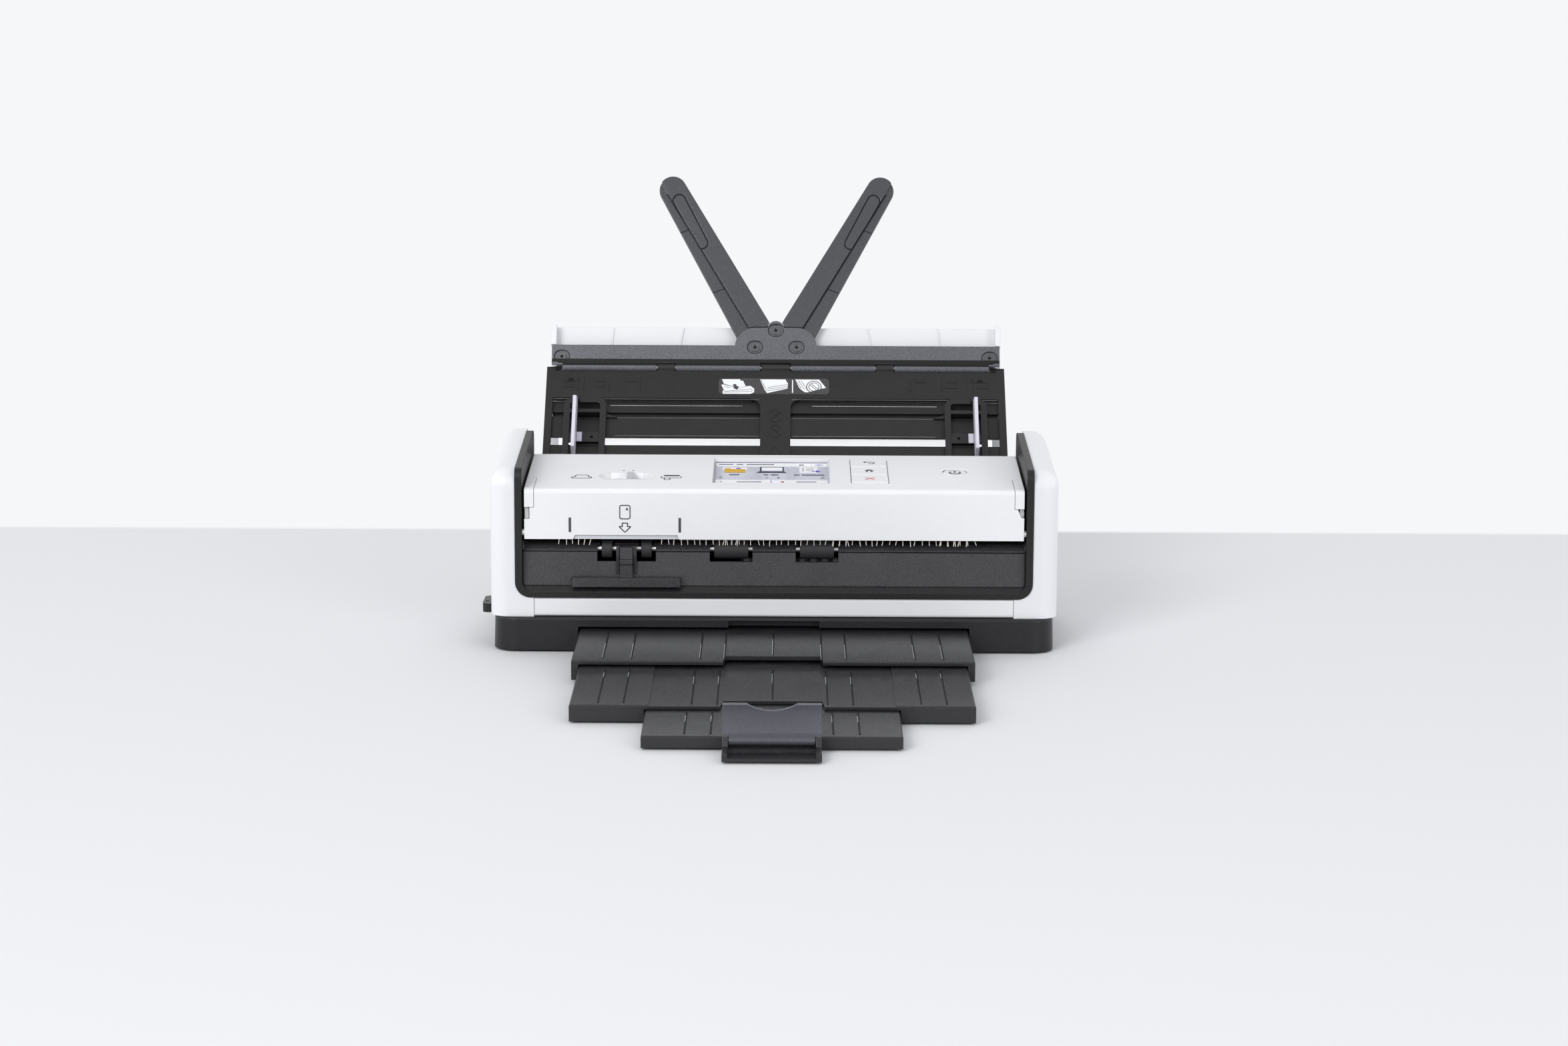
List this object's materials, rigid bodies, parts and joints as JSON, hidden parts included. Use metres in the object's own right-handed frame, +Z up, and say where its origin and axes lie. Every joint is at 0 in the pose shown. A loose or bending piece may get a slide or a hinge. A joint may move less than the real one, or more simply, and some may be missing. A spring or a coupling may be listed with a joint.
{
  "type": "document scanner",
  "caption": "Desktop sheet-fed document scanner with a folding top cover and chute, folding support arms, sliding guides, control panel, front cover and telescoping exit tray.",
  "frame": {"origin": "the centre of the body's footprint, on the plane of the four feet", "axes": "+X to the scanner's right seen from the front, +Y from its front to its back, +Z up"},
  "size_m": [0.2958, 0.4266, 0.2285],
  "materials": {
    "white_plastic": "satin, fine texture",
    "key_plastic": "satin",
    "dark_plastic": "fine spark-eroded texture",
    "chassis_plastic": "fine spark-eroded texture",
    "chute_plastic": "fine grain",
    "tray_plastic": "fine grain",
    "arm_plastic": "satin",
    "flap_plastic": "satin",
    "roller_rubber": "matt",
    "foot_rubber": "matt",
    "belt_rubber": "ribbed",
    "steel": "ground",
    "screw_steel": "blackened",
    "motor_steel": "zinc",
    "pulley_plastic": "moulded acetal",
    "board": "solder mask",
    "sensor_plastic": "matt",
    "sensor_glass": "polished",
    "display_glass": "polished",
    "display_body": "matt",
    "bristle": "fine fibres",
    "socket_plastic": "smooth"
  },
  "bodies": {
    "base": {"base_frame": "chassis_plastic", "base_bottom_covers": "dark_plastic", "rubber_feet": "foot_rubber", "base_screws": "screw_steel", "left_side_shell": "white_plastic", "right_side_shell": "white_plastic", "lower_strips": "white_plastic", "side_frame": "chassis_plastic", "exit_chute": "dark_plastic", "lower_guide_plate": "dark_plastic", "lower_scan_sensor": "sensor_plastic", "lower_sensor_glass": "sensor_glass", "shaft_bushes": "pulley_plastic", "drive_motor": "motor_steel", "main_board": "board", "rear_housing": "dark_plastic", "rear_sockets": "socket_plastic", "tether_lug": "dark_plastic", "hinge_pins": "steel", "drive_belt": "belt_rubber"},
    "exit_roller": {"exit_roller_shaft": "steel", "exit_roller_tyres": "roller_rubber", "exit_pulley": "pulley_plastic"},
    "feed_roller": {"feed_roller_shaft": "steel", "feed_roller_tyres": "roller_rubber", "feed_pulley": "pulley_plastic"},
    "motor_rotor": {"motor_pulley": "pulley_plastic"},
    "card_gate": {"card_guide": "dark_plastic"},
    "front_cover": {"front_cover_shell": "white_plastic", "upper_guide_plate": "dark_plastic", "upper_scan_sensor": "sensor_plastic", "upper_sensor_glass": "sensor_glass", "separation_pad": "roller_rubber", "brush_strip": "bristle", "display_window": "display_glass", "display_module": "display_body", "control_board": "board"},
    "pinch_roller": {"pinch_rollers": "roller_rubber"},
    "release_bar": {"cover_release": "white_plastic"},
    "cancel_key": {"key_cancel": "key_plastic"},
    "home_key": {"key_home": "key_plastic"},
    "back_key": {"key_back": "key_plastic"},
    "power_key": {"power_button": "key_plastic"},
    "selector": {"path_lever": "key_plastic"},
    "top_cover": {"top_cover_shell": "white_plastic", "support_bar": "arm_plastic", "support_screws": "screw_steel", "chute_hinge_pin": "steel"},
    "left_arm": {"left_support_arm": "arm_plastic"},
    "right_arm": {"right_support_arm": "arm_plastic"},
    "chute": {"input_chute": "chute_plastic"},
    "left_guide": {"left_document_guide": "chute_plastic"},
    "right_guide": {"right_document_guide": "chute_plastic"},
    "left_flap": {"left_guide_flap": "flap_plastic"},
    "right_flap": {"right_guide_flap": "flap_plastic"},
    "tray_1": {"tray_stage_1": "tray_plastic"},
    "tray_2": {"tray_stage_2": "tray_plastic"},
    "tray_3": {"tray_stage_3": "tray_plastic"},
    "stopper": {"tray_stopper": "tray_plastic"}
  },
  "joints": [
    {"name": "feed_roller_spin", "type": "hinge", "parent": "base", "child": "feed_roller", "pos_m": [0, 0.02408, 0.04999], "axis": [1, 0, 0], "continuous": true},
    {"name": "exit_roller_spin", "type": "hinge", "parent": "base", "child": "exit_roller", "pos_m": [0, -0.0415, 0.052], "axis": [1, 0, 0], "continuous": true},
    {"name": "motor_spin", "type": "hinge", "parent": "base", "child": "motor_rotor", "pos_m": [0, -0.022, 0.044], "axis": [1, 0, 0], "continuous": true},
    {"name": "card_guide_hinge", "type": "hinge", "parent": "base", "child": "card_gate", "pos_m": [-0.0756, -0.0479, 0.053], "axis": [-1, 0, 0], "range_deg": [0, 90]},
    {"name": "front_cover_hinge", "type": "hinge", "parent": "base", "child": "front_cover", "pos_m": [0, -0.0485, 0.0615], "axis": [1, 0, 0], "range_deg": [0, 75]},
    {"name": "pinch_roller_spin", "type": "hinge", "parent": "front_cover", "child": "pinch_roller", "pos_m": [0, -0.0415, 0.06], "axis": [1, 0, 0], "continuous": true},
    {"name": "release_slide", "type": "slide", "parent": "front_cover", "child": "release_bar", "axis": [0, 0, 1], "range_m": [0, 0.0025], "stiffness_N_per_m": 300, "springref_m": -0.0004},
    {"name": "cancel_key_press", "type": "slide", "parent": "front_cover", "child": "cancel_key", "axis": [0, 0.0767, -0.9971], "range_m": [0, 0.0007], "stiffness_N_per_m": 500, "springref_m": -0.0003},
    {"name": "home_key_press", "type": "slide", "parent": "front_cover", "child": "home_key", "axis": [0, 0.0767, -0.9971], "range_m": [0, 0.0007], "stiffness_N_per_m": 500, "springref_m": -0.0003},
    {"name": "back_key_press", "type": "slide", "parent": "front_cover", "child": "back_key", "axis": [0, 0.0767, -0.9971], "range_m": [0, 0.0007], "stiffness_N_per_m": 500, "springref_m": -0.0003},
    {"name": "power_key_press", "type": "slide", "parent": "front_cover", "child": "power_key", "axis": [0, 0.0767, -0.9971], "range_m": [0, 0.0007], "stiffness_N_per_m": 500, "springref_m": -0.0003},
    {"name": "selector_slide", "type": "slide", "parent": "front_cover", "child": "selector", "axis": [-1, 0, 0], "range_m": [0, 0.005]},
    {"name": "cover_hinge", "type": "hinge", "parent": "base", "child": "top_cover", "pos_m": [0, 0.0445, 0.0665], "axis": [-1, 0, 0], "range_deg": [-112, 0]},
    {"name": "left_arm_fold", "type": "hinge", "parent": "top_cover", "child": "left_arm", "pos_m": [-0.0114, 0.10273, 0.13708], "axis": [0, -0.9272, 0.3746], "range_deg": [0, 60]},
    {"name": "right_arm_fold", "type": "hinge", "parent": "top_cover", "child": "right_arm", "pos_m": [0.0114, 0.10273, 0.13708], "axis": [0, 0.9272, -0.3746], "range_deg": [0, 60]},
    {"name": "chute_fold", "type": "hinge", "parent": "top_cover", "child": "chute", "pos_m": [0, 0.0985, 0.1266], "axis": [-1, 0, 0], "range_deg": [-26.88, 0]},
    {"name": "left_guide_slide", "type": "slide", "parent": "chute", "child": "left_guide", "axis": [1, 0, 0], "range_m": [0, 0.08]},
    {"name": "right_guide_slide", "type": "slide", "parent": "chute", "child": "right_guide", "axis": [-1, 0, 0], "range_m": [0, 0.08]},
    {"name": "left_flap_fold", "type": "hinge", "parent": "left_guide", "child": "left_flap", "pos_m": [-0.1085, 0.0622, 0.09725], "axis": [0, -0.7193, -0.6947], "range_deg": [-89.6, 0]},
    {"name": "right_flap_fold", "type": "hinge", "parent": "right_guide", "child": "right_flap", "pos_m": [0.1085, 0.0622, 0.09725], "axis": [0, 0.7193, 0.6947], "range_deg": [-89.6, 0]},
    {"name": "tray_1_slide", "type": "slide", "parent": "base", "child": "tray_1", "axis": [0, 1, 0], "range_m": [0, 0.073]},
    {"name": "tray_2_slide", "type": "slide", "parent": "tray_1", "child": "tray_2", "axis": [0, 1, 0], "range_m": [0, 0.082]},
    {"name": "tray_3_slide", "type": "slide", "parent": "tray_2", "child": "tray_3", "axis": [0, 1, 0], "range_m": [0, 0.062]},
    {"name": "stopper_fold", "type": "hinge", "parent": "tray_3", "child": "stopper", "pos_m": [0, -0.2675, 0.0065], "axis": [1, 0, 0], "range_deg": [0, 88]}
  ],
  "couplings": [
    {"joint": "exit_roller_spin", "follows": "feed_roller_spin", "ratio": 1.4},
    {"joint": "motor_spin", "follows": "feed_roller_spin", "ratio": 1.75},
    {"joint": "chute_fold", "follows": "cover_hinge", "ratio": 0.24},
    {"joint": "left_flap_fold", "follows": "cover_hinge", "ratio": 0.8},
    {"joint": "right_flap_fold", "follows": "cover_hinge", "ratio": 0.8},
    {"joint": "right_guide_slide", "follows": "left_guide_slide", "ratio": 1}
  ]
}
